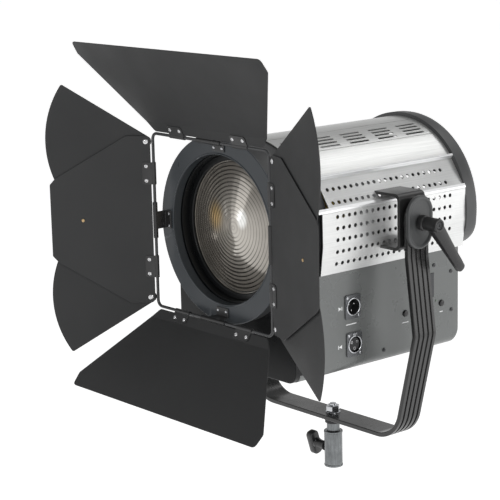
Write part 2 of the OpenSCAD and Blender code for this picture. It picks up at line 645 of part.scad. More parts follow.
// Pins that carry the wings behind the leaf, with the leaf's own rivets
pin_out = 4.4;
module side_rivets() {
    clip_rivets();
    for (s = [-1, 1]) translate([pivot_u, s * pivot_v, 0]) {
        translate([0, 0, -leaf_t / 2 - pin_out]) cylinder(r = wing_pin_r, h = leaf_t + pin_out, $fn = fine);
        translate([0, 0, leaf_t / 2]) cylinder(r = 3.4, h = 1.1, $fn = fine);
        translate([0, 0, -leaf_t / 2 - pin_out - 1]) cylinder(r = 3.4, h = 1.1, $fn = fine);
    }
    translate([stop_u, 0, leaf_t / 2]) cylinder(r = 2.2, h = 1, $fn = fine);
}
module door_left() color("#3d3e40") on_side(2, left_lean) side_leaf();
module door_left_clips() color("#1b1c1d") clips(2, left_lean);
module door_left_rivets() color("#d8dadc") on_side(2, left_lean) side_rivets();
module door_right() color("#3d3e40") on_side(0, right_lean) side_leaf();
module door_right_clips() color("#1b1c1d") clips(0, right_lean);
module door_right_rivets() color("#d8dadc") on_side(0, right_lean) side_rivets();

// A wing: a sector of sheet on the leaf's outer face. end is 1 or -1 along the rod,
// edge is the angle of its outer straight edge from the leaf's own direction.
// layer 0 lies next to the leaf, layer 1 outside it, so that two wings can fold in
wing_span = 62;
wing_gap = 0.7;
module wing(end, edge, layer) difference() {
    translate([pivot_u, end * pivot_v, -leaf_t / 2 - (wing_gap + leaf_t) * (layer + 1)]) linear_extrude(leaf_t)
        polygon(concat(arc(0, 0, 7, end * (edge + 90), end * (edge + 90 + 150), 8),
                       arc(0, 0, wing_r, end * (edge - wing_span), end * edge, 24)));
    translate([pivot_u, end * pivot_v, -10]) cylinder(r = wing_pin_r + fit, h = 20, $fn = fine);
}
module wing_left_upper() color("#414244") on_side(2, left_lean) wing(-1, 35, 0);
module wing_left_lower() color("#414244") on_side(2, left_lean) wing(1, 35, 1);
module wing_right_upper() color("#414244") on_side(0, right_lean) wing(1, 36, 0);
module wing_right_lower() color("#414244") on_side(0, right_lean) wing(-1, 27, 1);

yoke_bar();
arm_caps();
friction_washers();
stand_receiver();
receiver_bolt();
receiver_nut();
receiver_washer();
receiver_knob();
front_casting();
lens();
lens_retainer();
top_shell();
side_panels();
shell_rails();
lower_housing();
rear_cap();
rear_panel();
tilt_brackets();
pivot_bolts();
pivot_nut();
dmx_connectors();
display_window();
housing_screws();
guide_rods();
power_supply();
control_board();
mains_fittings();
tilt_lever();
lever_screw();
focus_knob();
lead_screw();
led_carriage();
led_module();
heatsink();
fan_frame();
fan_rotor();
menu_button();
set_button();
power_switch();
barndoor_ring();
barndoor_tabs();
barndoor_frame();
tab_rivets();
door_top();
door_top_clips();
door_top_rivets();
door_bottom();
door_bottom_clips();
door_bottom_rivets();
door_left();
door_left_clips();
door_left_rivets();
door_right();
door_right_clips();
door_right_rivets();
wing_left_upper();
wing_left_lower();
wing_right_upper();
wing_right_lower();
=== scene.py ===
# Looks of the Fresnel spotlight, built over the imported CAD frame.
# Head parts are written in head axes (mm): the lens axis is y, y = 0 is the wire frame's plane.
import json
from math import asin, atan2, copysign, cos, degrees, pi, radians, sin, sqrt

import bmesh
import bpy
from mathutils import Matrix, Vector


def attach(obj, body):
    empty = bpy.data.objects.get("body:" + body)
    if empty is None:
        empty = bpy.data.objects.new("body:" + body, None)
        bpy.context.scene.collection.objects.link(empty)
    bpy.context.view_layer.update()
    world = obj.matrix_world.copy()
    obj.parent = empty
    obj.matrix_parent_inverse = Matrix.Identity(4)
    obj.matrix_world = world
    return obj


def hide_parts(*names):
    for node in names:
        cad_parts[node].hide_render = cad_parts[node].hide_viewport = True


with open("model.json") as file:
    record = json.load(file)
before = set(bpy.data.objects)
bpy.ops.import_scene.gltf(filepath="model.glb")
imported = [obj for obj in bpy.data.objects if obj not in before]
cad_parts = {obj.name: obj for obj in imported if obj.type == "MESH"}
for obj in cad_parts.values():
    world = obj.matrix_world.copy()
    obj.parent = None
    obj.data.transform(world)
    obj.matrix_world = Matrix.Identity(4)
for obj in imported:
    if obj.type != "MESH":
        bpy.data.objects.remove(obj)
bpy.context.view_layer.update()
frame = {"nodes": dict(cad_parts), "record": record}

HEAD = Vector((0, -202, 352))  # the head's own axes
LOW = Vector((0, 0, 0))  # the yoke's own axes
ROD = 113  # the wire frame's rods from the lens axis
CORNER = 8  # and its corner radius
WALL = 112  # the housing's side walls
SHELL_Z, SHELL_R = -5, 115.0  # centre and radius of the round shell
RAIL_ANGLE = 38  # where the shell meets its rails
T = Matrix.Translation


def R(deg, axis):
    return Matrix.Rotation(radians(deg), 4, axis)


# ---------------------------------------------------------------- materials


def fill(tree, node, values=None, links=None):
    """Sets and links a node's inputs, keyed by name or number."""
    for key, value in (values or {}).items():
        node.inputs[key].default_value = value
    for key, socket in (links or {}).items():
        tree.links.new(socket, node.inputs[key])


def add_node(tree, kind, values=None, links=None, **settings):
    node = tree.nodes.new("ShaderNode" + kind)
    for key, value in settings.items():
        setattr(node, key, value)
    fill(tree, node, values, links)
    return node


def new_material(name):
    m = bpy.data.materials.new(name)
    m.use_nodes = True
    return m, m.node_tree, m.node_tree.nodes["Principled BSDF"]


def material(name, base, rough=0.5, metal=0.0, vary=0.1, grain=1500.0, bump=0.1, stretch=(1, 1, 1),
             blotch=14.0, spec=0.5, coat=0.0, rough_vary=0.1, edge_highlight=0.0):
    """Paint, plastic or metal. Fine grain and broad blotches vary the colour, the blotches also the gloss,
    and the grain the surface; the last argument pales the edges by pointiness: a painted edge highlight."""
    m, tree, shader = new_material(name)

    def tint(gain, lift=0.0):
        return (*[min(1, max(0, channel * gain + lift)) for channel in base], 1)

    coords = add_node(tree, "TexCoord").outputs["Object"]
    spread = add_node(tree, "Mapping", {"Scale": stretch}, {"Vector": coords}).outputs["Vector"]
    fine = add_node(tree, "TexNoise", {"Scale": grain, "Detail": 4.0}, {"Vector": spread}).outputs["Fac"]
    broad = add_node(tree, "TexNoise", {"Scale": blotch, "Detail": 5.0}, {"Vector": coords}).outputs["Fac"]
    both = add_node(tree, "Math", None, {0: fine, 1: broad}, operation="ADD").outputs[0]
    shade = add_node(tree, "MapRange", {"From Min": 0.65, "From Max": 1.35},
                     {"Value": both}).outputs["Result"]
    colour = add_node(tree, "Mix", {"A": tint(1 - vary), "B": tint(1 + vary)}, {"Factor": shade},
                      data_type="RGBA").outputs["Result"]
    # painted highlight: edges paled by pointiness stand in for light caught along them
    if edge_highlight:
        points = add_node(tree, "NewGeometry").outputs["Pointiness"]
        edge = add_node(tree, "MapRange", {"From Min": 0.54, "From Max": 0.66, "To Max": edge_highlight},
                        {"Value": points}).outputs["Result"]
        colour = add_node(tree, "Mix", {"B": tint(1.8, 0.09)}, {"Factor": edge, "A": colour},
                          data_type="RGBA").outputs["Result"]
    gloss = add_node(tree, "MapRange",
                     {"From Min": 0.3, "From Max": 0.7,
                      "To Min": max(0.02, rough - rough_vary), "To Max": min(1, rough + rough_vary)},
                     {"Value": broad}).outputs["Result"]
    fill(tree, shader, {"Metallic": metal, "Specular IOR Level": spec, "Coat Weight": coat,
                        "Coat Roughness": 0.15},
         {"Base Color": colour, "Roughness": gloss})
    if bump:
        relief = add_node(tree, "Bump", {"Strength": bump, "Distance": 0.0004}, {"Height": fine})
        fill(tree, shader, links={"Normal": relief.outputs["Normal"]})
    return m


BLACK_POWDER = material("yoke_paint", (0.007, 0.007, 0.007), 0.26, vary=0.12, grain=2600, bump=0.06, spec=0.6,
                        edge_highlight=0.5)
LEAF = material("leaf_paint", (0.022, 0.0225, 0.023), 0.58, vary=0.16, grain=3200, bump=0.2, spec=0.34,
                edge_highlight=0.5)
CLIP = material("clip_paint", (0.01, 0.01, 0.0105), 0.32, vary=0.1, grain=2600, bump=0.08, edge_highlight=0.8)
WIRE = material("frame_steel", (0.025, 0.026, 0.028), 0.28, metal=0.2, vary=0.15, grain=2000, bump=0.05,
                spec=0.7, edge_highlight=0.6)
RING = material("ring_paint", (0.024, 0.029, 0.034), 0.34, vary=0.1, grain=3000, bump=0.1, spec=0.45,
                edge_highlight=0.9)
CASTING = material("casting", (0.022, 0.023, 0.024), 0.34, vary=0.12, grain=2200, bump=0.12, spec=0.6,
                   edge_highlight=0.4)
CAP = material("cap_casting", (0.04, 0.041, 0.042), 0.42, vary=0.12, grain=2200, bump=0.16, spec=0.6,
               edge_highlight=0.5)
BARREL = material("retainer", (0.005, 0.0055, 0.006), 0.3, vary=0.1, grain=2500, bump=0.05, spec=0.22)
BRACKET = material("bracket_paint", (0.012, 0.012, 0.012), 0.32, vary=0.12, grain=2600, bump=0.08, edge_highlight=0.5)
ALU = material("shell_aluminium", (0.68, 0.685, 0.675), 0.36, metal=0.78, vary=0.2, grain=1500,
               stretch=(1, 0.01, 1), bump=0.16, blotch=6, rough_vary=0.06)
PANEL = material("panel_aluminium", (0.68, 0.685, 0.68), 0.36, metal=0.78, vary=0.14, grain=1500,
                 stretch=(1, 0.01, 1), bump=0.12, blotch=6, rough_vary=0.06)
# a paler copy of the shell's aluminium for the raised rails: painted highlight
RAIL_HIGHLIGHT_ALU = material("rail_aluminium", (0.84, 0.845, 0.85), 0.3, metal=0.75, vary=0.05, grain=2400,
                  stretch=(1, 0.012, 1), bump=0.05, blotch=6, rough_vary=0.05)
HOUSING = material("housing_paint", (0.14, 0.146, 0.144), 0.32, metal=0.4, vary=0.04, grain=3000, bump=0.06)
PLASTIC = material("knob_plastic", (0.012, 0.012, 0.0125), 0.32, vary=0.12, grain=1600, bump=0.1, edge_highlight=0.5)
CAP_PLASTIC = material("cap_plastic", (0.05, 0.052, 0.053), 0.4, vary=0.08, grain=2000, bump=0.1, edge_highlight=0.4)
MATT = material("matt_black", (0.012, 0.012, 0.013), 0.6, vary=0.15, grain=1400, bump=0.08)
ZINC = material("zinc", (0.16, 0.168, 0.172), 0.22, metal=1.0, vary=0.35, grain=900, stretch=(1, 1, 0.05),
                bump=0.08, blotch=90)
CHROME = material("chrome_bolt", (0.55, 0.56, 0.58), 0.16, metal=1.0, vary=0.08, grain=900, bump=0.03,
                  rough_vary=0.05)
RIVET = material("rivet", (0.62, 0.62, 0.63), 0.25, metal=1.0, vary=0.08, grain=1200, bump=0.04,
                 rough_vary=0.06)
BRASS = material("brass_stud", (0.5, 0.36, 0.2), 0.3, metal=1.0, vary=0.1, grain=1200, bump=0.04)
NICKEL = material("nickel", (0.5, 0.51, 0.53), 0.24, metal=1.0, vary=0.08, grain=1800, bump=0.05)
STEEL = material("steel", (0.42, 0.43, 0.44), 0.34, metal=1.0, vary=0.1, grain=1500, bump=0.06)
WINDOW = material("window", (0.006, 0.008, 0.011), 0.12, vary=0.2, grain=600, bump=0.0, coat=0.6,
                  rough_vary=0.03)
LEGEND = material("legend_print", (0.75, 0.76, 0.76), 0.6, vary=0.06, grain=2500, bump=0.03)
LED = material("led", (0.85, 0.62, 0.14), 0.5, vary=0.1, grain=3500, bump=0.1)
BOARD = material("board", (0.02, 0.13, 0.05), 0.35, vary=0.2, grain=900, bump=0.05)
SINK = material("sink_aluminium", (0.5, 0.51, 0.52), 0.4, metal=0.9, vary=0.08, grain=1800,
                stretch=(1, 1, 0.05))
SCREW = material("black_screw", (0.035, 0.036, 0.038), 0.25, metal=0.4, vary=0.15, grain=1200, edge_highlight=0.6)
FLANGE = material("flange_black", (0.12, 0.124, 0.13), 0.3, metal=0.8, vary=0.1, grain=2000, edge_highlight=0.6)
INDICATOR = material("indicator", (0.1, 0.13, 0.1), 0.2, vary=0.2, coat=0.5)
PSU = material("psu_steel", (0.5, 0.5, 0.49), 0.4, metal=0.9, vary=0.15, grain=300, bump=0.03, blotch=60)


def lens_glass():
    """Pressed lens glass over a pale reflector: warm where the light source shows through."""
    m, tree, shader = new_material("lens_glass")
    coords = add_node(tree, "TexCoord").outputs["Object"]
    first_groove, half_pitch = 0.0125, 0.0025

    def distance(x, z, squeeze=1.0):
        flat = add_node(tree, "Mapping", {"Location": (-x * squeeze, 0, -z), "Scale": (squeeze, 0, 1)},
                        {"Vector": coords}).outputs["Vector"]
        return add_node(tree, "VectorMath", None, {0: flat}, operation="LENGTH").outputs["Value"]

    def ramp(value, start, end, low=0.0, kind="LINEAR"):
        return add_node(tree, "MapRange", {"From Min": start, "From Max": end, "To Min": low},
                        {"Value": value}, interpolation_type=kind).outputs["Result"]

    def spot(x, z, r_in, r_out, squeeze=1.0):
        return ramp(distance(x, z, squeeze), r_out, r_in, kind="SMOOTHSTEP")

    def over(below, colour, factor, strength=1.0):
        share = add_node(tree, "Math", {1: strength}, {0: factor}, operation="MULTIPLY").outputs[0]
        return add_node(tree, "Mix", {"B": (*colour, 1)}, {"Factor": share, "A": below},
                        data_type="RGBA").outputs["Result"]

    grain = add_node(tree, "TexNoise", {"Scale": 60.0}, {"Vector": coords}).outputs["Fac"]
    colour = add_node(tree, "Mix", {"A": (0.27, 0.25, 0.222, 1), "B": (0.44, 0.408, 0.362, 1)},
                      {"Factor": grain}, data_type="RGBA").outputs["Result"]
    colour = over(colour, (0.52, 0.49, 0.44), spot(0.0, 0.352, 0.01, 0.07), 0.85)
    colour = over(colour, (0.75, 0.54, 0.24), spot(-0.037, 0.363, 0.004, 0.026, 1.3), 0.75)
    # painted highlight: a white spot right of centre stands in for a softbox's reflection
    colour = over(colour, (1.0, 1.0, 0.97), spot(0.016, 0.365, 0.005, 0.016, 1.3), 1.0)
    # painted shade: dark lines along each step's groove, fainter towards the plain middle
    radius = distance(0, 0.352)
    step = add_node(tree, "Math", {1: first_groove}, {0: radius}, operation="SUBTRACT").outputs[0]
    wrap = add_node(tree, "Math", {1: half_pitch}, {0: step}, operation="PINGPONG").outputs[0]
    groove_shade = ramp(wrap, 0.0015, 0.0002, kind="SMOOTHSTEP")
    groove_shade_fade = ramp(radius, 0.008, 0.05, low=0.25)
    groove_shade_mask = add_node(tree, "Math", None, {0: groove_shade, 1: groove_shade_fade}, operation="MULTIPLY").outputs[0]
    colour = over(colour, (0.015, 0.014, 0.013), groove_shade_mask, 0.9)
    relief = add_node(tree, "Bump", {"Strength": 0.05, "Distance": 0.001},
                      {"Height": grain}).outputs["Normal"]
    fill(tree, shader,
         {"Metallic": 0.5, "Roughness": 0.12, "IOR": 1.52, "Specular IOR Level": 0.75,
          "Coat Weight": 0.25, "Coat Roughness": 0.05},
         {"Base Color": colour, "Normal": relief})
    return m


GLASS = lens_glass()

# ---------------------------------------------------------------- mesh tools


class Shape:
    """Vertices in mm and faces, gathered before they become one object."""

    def __init__(self):
        self.v, self.f = [], []

    def add(self, verts, faces, m=None):
        k = len(self.v)
        self.v += [(m @ Vector(p)) if m is not None else Vector(p) for p in verts]
        self.f += [tuple(i + k for i in f) for f in faces]
        return self

    def loft(self, rings, m=None, caps=True, loop=False):
        """Rings of equal length, joined in order; loop joins the last to the first."""
        n = len(rings[0])
        verts = [p for ring in rings for p in ring]
        faces = []
        last = len(rings) if loop else len(rings) - 1
        for a in range(last):
            b = (a + 1) % len(rings)
            for i in range(n):
                j = (i + 1) % n
                faces.append((a * n + i, a * n + j, b * n + j, b * n + i))
        if caps and not loop:
            faces.append(tuple(range(n - 1, -1, -1)))
            faces.append(tuple((len(rings) - 1) * n + i for i in range(n)))
        return self.add(verts, faces, m)

    def prism(self, outline, a, b, m=None):
        return self.loft([[(x, y, a) for x, y in outline], [(x, y, b) for x, y in outline]], m)

    def lathe(self, profile, m=None, n=96, loop=True):
        """profile is (radius, height) about z; a third value shifts that ring along local y."""
        rings = [[(p[0] * cos(2 * pi * i / n), p[0] * sin(2 * pi * i / n) + (p[2] if len(p) > 2 else 0), p[1])
                  for i in range(n)] for p in profile]
        return self.loft(rings, m, caps=False, loop=loop) if loop else self.loft(rings, m, caps=True)

    def box(self, lo, hi, m=None):
        (x0, y0, z0), (x1, y1, z1) = lo, hi
        return self.prism([(x0, y0), (x1, y0), (x1, y1), (x0, y1)], z0, z1, m)

    def make(self, name, mat, body, origin=HEAD, bevel=0.35, segments=2, smooth=32, replaces=(), slot=None,
             cut=None):
        bm = bmesh.new()
        vs = [bm.verts.new((p + origin) / 1000) for p in self.v]
        for f in self.f:
            try:
                bm.faces.new([vs[i] for i in f])
            except ValueError:
                pass
        bmesh.ops.remove_doubles(bm, verts=bm.verts, dist=1e-6)
        bmesh.ops.recalc_face_normals(bm, faces=bm.faces)
        me = bpy.data.meshes.new(name)
        bm.to_mesh(me)
        bm.free()
        me.materials.append(mat)
        o = bpy.data.objects.new(name, me)
        bpy.context.scene.collection.objects.link(o)
        if cut is not None:
            tool = cut.make(name + "_tool", mat, None, origin, 0)
            mod = o.modifiers.new("cut", "BOOLEAN")
            mod.operation, mod.solver, mod.object = "DIFFERENCE", "EXACT", tool
            bpy.context.view_layer.update()
            done = bpy.data.meshes.new_from_object(o.evaluated_get(bpy.context.evaluated_depsgraph_get()))
            o.modifiers.clear()
            o.data = done
            me = done
            bpy.data.objects.remove(tool)
        me.polygons.foreach_set("use_smooth", [True] * len(me.polygons))
        me.set_sharp_from_angle(angle=radians(smooth))
        if bevel:
            b = o.modifiers.new("edges", "BEVEL")
            b.width, b.segments, b.limit_method = bevel / 1000, segments, "ANGLE"
            b.angle_limit, b.harden_normals = radians(smooth + 3), True
        if body:
            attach(o, body)
            if replaces:
                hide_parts(*replaces)
        return o


def arc(cx, cy, r, a0, a1, n=8):
    return [(cx + r * cos(radians(a0 + (a1 - a0) * i / n)), cy + r * sin(radians(a0 + (a1 - a0) * i / n)))
            for i in range(n + 1)]


def rounded(points, n=5):
    """Fillets each corner of an outline; a point is (x, y) or (x, y, radius)."""
    out = []
    k = len(points)
    for i, p in enumerate(points):
        r = p[2] if len(p) > 2 else 0
        b = Vector(p[:2])
        if not r:
            out.append(tuple(b))
            continue
        u = (Vector(points[i - 1][:2]) - b).normalized()
        w = (Vector(points[(i + 1) % k][:2]) - b).normalized()
        half = u.angle(w) / 2
        d = r / max(0.05, sin(half)) * cos(half)
        mid = b + (u + w).normalized() * (r / sin(half))
        s, e = b + u * d, b + w * d
        a0, a1 = atan2(*(s - mid).yx), atan2(*(e - mid).yx)
        if a1 - a0 > pi:
            a1 -= 2 * pi
        if a0 - a1 > pi:
            a1 += 2 * pi
        out += [(mid.x + r * cos(a0 + (a1 - a0) * t / n), mid.y + r * sin(a0 + (a1 - a0) * t / n))
                for t in range(n + 1)]
    return out


def rect(x0, y0, x1, y1, r=0.0, n=5):
    return rounded([(x0, y0, r), (x1, y0, r), (x1, y1, r), (x0, y1, r)], n)


Y = R(90, "X")  # local z runs towards -y
ALONG_Y = Matrix(((1, 0, 0, 0), (0, 0, 1, 0), (0, 1, 0, 0), (0, 0, 0, 1)))  # (x, z, y)
ALONG_X = Matrix(((0, 0, 1, 0), (1, 0, 0, 0), (0, 1, 0, 0), (0, 0, 0, 1)))  # (y, z, x)


def side(k, lean=0.0):
    """Local frame at one side of the wire frame: x out along the leaf, y along the rod, z its inner face."""
    return R(-90 * k, "Y") @ T((ROD, 0, 0)) @ R(-lean, "Z") @ R(90, "X")


SIDES = (Matrix.Identity(4), Matrix.Scale(-1, 4, (1, 0, 0)))

# ---------------------------------------------------------------- lens and front

rings, core, edge = 15, 13.0, 83.0  # steps, radius of the plain middle, radius of the outermost step


def rise(r):
    """Height of the steps' crests over the lens's back."""
    return 12.4 - 6.3 * (r / 84) ** 2


cut_r = [0.0] + [core + (edge - core) * i / (rings - 1) for i in range(rings)]
profile = [(0.02, 0.1), (91.7, 0.1), (91.7, 5.9), (edge + 0.6, 5.9)]
for i in range(rings, 0, -1):
    r0, r1 = cut_r[i], cut_r[i - 1]
    fall = 0.9 + 1.5 * r0 / edge
    for t in (0.0, 0.25, 0.5, 0.75, 1.0):
        r = r0 + (r1 - r0) * t
        drop = fall * (1 - t) ** 1.25 if i > 1 else 1.3 * (r / core) ** 2
        profile.append((max(0.02, r + (0.35 if t == 1.0 and i > 1 else 0)), rise(r) - drop))
Shape().lathe(profile, T((0, 48, 0)) @ Y, 180, loop=False).make(
    "lens_glass", GLASS, "head", bevel=0, smooth=24, replaces=["lens"], slot="lens_glass")

s = Shape()
s.lathe([(84.2, 39.0), (85.2, 38.1), (91.8, 38.1), (91.8, 41.95), (84.2, 41.95)], ALONG_Y, 160)
s.lathe([(85, 48), (91.9, 48), (91.9, 53), (85, 53)], ALONG_Y, 120)
s.make("lens_bezel", BARREL, "head", bevel=0.3, replaces=["lens_retainer"], slot="retainer")

c = SHELL_Z
s = Shape()
s.lathe([(112.4, 95, c), (112.4, 73, c), (113.4, 72.9, c), (113.5, 72, c), (113.5, 23, c), (112.9, 21.2, c),
         (111.4, 20.1, c), (99, 20, 0), (97.9, 20.2, 0), (97.15, 21, 0), (97.15, 28, 0), (92.1, 28, 0),
         (92.1, 54, 0), (103, 54, 0), (103, 36, 0), (109, 36, c), (109.9, 95, c)], ALONG_Y, 160)
nose = s.make("nose", CASTING, "head", bevel=0.4, smooth=30, replaces=["front_casting"], slot="casting")
nose.data.materials.append(BARREL)
barrel_r = 0.0972
for p in nose.data.polygons:
    p.material_index = 1 if Vector((p.center.x, p.center.z - 0.352)).length < barrel_r else 0
s = Shape()
hollow_r = 109
hollow = degrees(asin((52 + c) / hollow_r))
s.prism(rounded([(-112.5, -52), (-112.5, -182.3, 15), (112.5, -182.3, 15), (112.5, -52)], 8)
        + arc(0, c, hollow_r, -hollow, hollow - 180, 48), 36, 58, ALONG_Y)
s.make("nose_apron", BARREL, "head", bevel=1.2, segments=3, slot="casting")

# ---------------------------------------------------------------- body shell

s, cut = Shape(), Shape()
s.prism(arc(0, c, SHELL_R, RAIL_ANGLE, 180 - RAIL_ANGLE, 60)
        + arc(0, c, SHELL_R - 1.3, 180 - RAIL_ANGLE, RAIL_ANGLE, 60), 73, 334, ALONG_Y)
vent, vent_pitch, vent_r = 30.8, 50.5, 1.7
for m in SIDES:
    for a in (71.5, 68, 64.5, 61):
        for i in range(5):
            y0 = 86 + i * vent_pitch
            cut.prism(arc(0, y0, vent_r, 180, 360, 8) + arc(0, y0 + vent, vent_r, 0, 180, 8), 108, 122,
                      m @ T((0, 0, c)) @ R(90 - a, "Y"))
    for a, w in ((79, 0.6), (58, 0.45)):
        cut.box((-w, 70, 114.2), (w, 340, 118), m @ T((0, 0, c)) @ R(90 - a, "Y"))
shell = s.make("shell_skin", ALU, "head", bevel=0, smooth=30, replaces=["top_shell"], slot="shell_aluminium",
               cut=cut)


def set_radial(o, cz):
    """Exact round shading: each loop of a curved face takes the cylinder's own normal."""
    me = o.data
    normals = []
    for p in me.polygons:
        for li in p.loop_indices:
            v = me.vertices[me.loops[li].vertex_index].co
            d = Vector((v.x, 0, v.z - (HEAD.z + cz) / 1000)).normalized()
            k = p.normal.dot(d)
            normals.append(d if k > 0.97 else (-d if k < -0.97 else p.normal))
    me.normals_split_custom_set(normals)


set_radial(shell, c)

rail_x, rail_z = SHELL_R * cos(radians(RAIL_ANGLE)), c + SHELL_R * sin(radians(RAIL_ANGLE))
panel = [(rail_x + 0.2, rail_z - 2), (114, 29), (116.6, 26.6), (117.2, 25.2), (117.5, -16), (117.2, -18),
         (112.6, -52), (111.4, -52), (116, -18), (116.3, -16), (116, 25), (113.2, 28),
         (rail_x - 0.7, rail_z - 2.9)]
hole_pitch, holes, hole_r = 10.0, 21, 2.55
s, cut = Shape(), Shape()
for m in SIDES:
    s.prism(panel, 80, 334, m @ ALONG_Y)
    cut.box((80, 70, 28), (140, 95, 90), m)
    for x, z, a in ((101.5, 52, 28), (110, 36, 28), (117, 19.5, 0), (117, 5, 0), (117, -9.5, 0),
                    (115, -24.5, -8), (115, -40, -8)):
        for i in range(holes):
            cut.lathe([(hole_r, -6), (hole_r, 6)], m @ T((x, 105 + hole_pitch * i, z)) @ R(90 - a, "Y"), 20,
                      loop=False)
s.make("side_sheets", PANEL, "head", bevel=0, smooth=20, replaces=["side_panels"], slot="panel_aluminium",
       cut=cut)

s = Shape()
for m in SIDES:
    s.prism([(rail_x + 0.3, rail_z - 1.9), (rail_x + 0.1, rail_z + 1.9), (rail_x + 3.6, rail_z + 3.2),
             (rail_x + 4.8, rail_z + 1.2), (rail_x + 2.4, rail_z - 3.2)], 73, 334, m @ ALONG_Y)
    s.prism([(114.2, 29.3), (117.2, 26.3), (118.4, 26.3), (118.2, 29), (115.8, 32)], 73, 334, m @ ALONG_Y)
s.make("rail_strips", RAIL_HIGHLIGHT_ALU, "head", bevel=0.45, segments=3, replaces=["shell_rails"],
       slot="shell_aluminium")

# ---------------------------------------------------------------- lower housing

SOCKETS = ((133, -99), (135, -148))  # (y, z) on the side wall: the upper has pins, the lower has holes
BUTTONS = ((227, -125), (294, -123))

s, cut = Shape(), Shape()
sections = []
back_y, fillet = 317, 9  # the bottom's rear edge is rounded upwards
for y in [44, 60] + [back_y + fillet * sin(radians(a)) for a in range(0, 91, 9)]:
    low = -182 + fillet - sqrt(max(0, fillet ** 2 - max(0, y - back_y) ** 2))
    around = rounded([(-WALL, low, 12), (WALL, low, 12), (WALL, -52), (-WALL, -52)], 8)
    sections.append([(x, y, z) for x, z in around])
s.loft(sections)
for y, z in SOCKETS:
    cut.lathe([(12, 90), (12, 120)], T((0, y, z)) @ R(90, "Y"), 48, loop=False)
for y, z in BUTTONS:
    cut.lathe([(4.4, 100), (4.4, 120)], T((0, y, z)) @ R(90, "Y"), 32, loop=False)
cut.box((109, 235.8, -112.2), (113, 280.2, -79.8))
cut.box((49.5, 300, -140), (70.5, 330, -110))
cut.box((-63.5, 300, -135), (-36.5, 330, -115))
s.make("housing_body", HOUSING, "head", bevel=0.3, smooth=30, replaces=["lower_housing"],
       slot="housing_paint", cut=cut)

# connectors: flange, rim, insert, pins
flange, rims, black, pins = Shape(), Shape(), Shape(), Shape()
flange_cut = Shape()
for (y, z), has_pins in zip(SOCKETS, (True, False)):
    m = T((WALL, y, z)) @ ALONG_X
    flange.prism(rect(-13, -15.5, 13, 15.5, 2.6, 6), 0.02, 1.9, m)
    flange_cut.lathe([(10.4, 105), (10.4, 120)], T((0, y, z)) @ R(90, "Y"), 48, loop=False)
    rims.lathe([(10.1, 1.2), (10.1, 2.9), (10.6, 3.2), (11.5, 3.1), (11.9, 2.4), (11.9, -13), (10.1, -13)], m,
               64)
    if has_pins:
        black.lathe([(10.05, -11), (10.05, -10), (0.02, -10), (0.02, -11)], m, 48)
        black.lathe([(10.1, -9.9), (10.1, 2.6), (9.5, 2.6), (9.5, -9.9)], m, 48)
    else:
        black.lathe([(8.6, -11.4), (8.6, 0.9), (8.1, 1.35), (0.02, 1.35), (0.02, -11.4)], m, 48)
        rims.prism(rect(-3.4, 11.95, 3.4, 14.6, 0.8, 4), 1.92, 2.9, m)
    for a in (30, 150, 270):
        px, py = 5.4 * cos(radians(a)), 5.4 * sin(radians(a))
        if has_pins:
            pins.lathe([(1.2, -11.4), (1.2, -1.8), (0.7, -1.1), (0.02, -1.0)], m @ T((px, py, 0)), 20,
                       loop=False)
        else:
            pins.lathe([(1.3, 1.36), (1.9, 1.36), (1.9, 1.5), (1.3, 1.5)], m @ T((px, py, 0)), 20)
    for q in (-1, 1):
        rims.lathe([(1.9, 1.85), (1.9, 2.3), (1.4, 2.7), (0.02, 2.75)], m @ T((-9.6 * q, 12.1 * q, 0)), 20,
                   loop=False)
flange.make("connector_flanges", FLANGE, "head", bevel=0.3, replaces=["dmx_connectors"], slot="nickel",
            cut=flange_cut)
rims.make("connector_rims", NICKEL, "head", bevel=0.12, slot="nickel")
black.make("connector_inserts", MATT, "head", bevel=0.15, slot="button_plastic")
pins.make("connector_contacts", RIVET, "head", bevel=0.1, slot="nickel")

s = Shape()
s.prism(rect(236.1, -111.9, 279.9, -80.1, 2, 6), 110.2, 112.6, ALONG_X)
s.make("window_pane", WINDOW, "head", bevel=0.3, replaces=["display_window"], slot="window")
for name, node, (y, z) in zip(("menu_cap", "set_cap"), ("menu_button", "set_button"), BUTTONS):
    s = Shape()
    s.lathe([(6, -3.9), (6, -2), (4.15, -2), (4.15, 1.3), (3.8, 2.0), (3.0, 2.35), (0.02, 2.2), (0.02, -3.9)],
            T((WALL, y, z)) @ ALONG_X, 40)
    s.make(name, PLASTIC, node, bevel=0.12, replaces=[node], slot="button_plastic")

# plain printed marks and two indicator lenses beside the controls
s = Shape()
for y, z, d in ((112, -99, 1), (112, -148, -1)):
    m = T((WALL, y, z)) @ ALONG_X
    s.prism([(-2.6 * d, -2.4), (2.4 * d, 0), (-2.6 * d, 2.4)], 0.0, 0.06, m)
    s.prism(rect(3.2 * d - 0.5, -2.4, 3.2 * d + 0.5, 2.4), 0.0, 0.06, m)
for y, z, w in ((131, -121.5, 9), (227, -137, 6), (294, -134.5, 3)):
    s.prism(rect(-w, -0.55, w, 0.55, 0.5), 0.0, 0.06, T((WALL, y, z)) @ ALONG_X)
s.make("legend_marks", LEGEND, "head", bevel=0)
s = Shape()
for y, z in ((236.5, -117.4), (284.1, -118.2)):
    s.lathe([(1.5, 0), (1.5, 0.5), (1.0, 1.0), (0.02, 1.1)], T((WALL, y, z)) @ ALONG_X, 20, loop=False)
s.make("indicator_lenses", INDICATOR, "head", bevel=0)
s, recess_shade = Shape(), Shape()
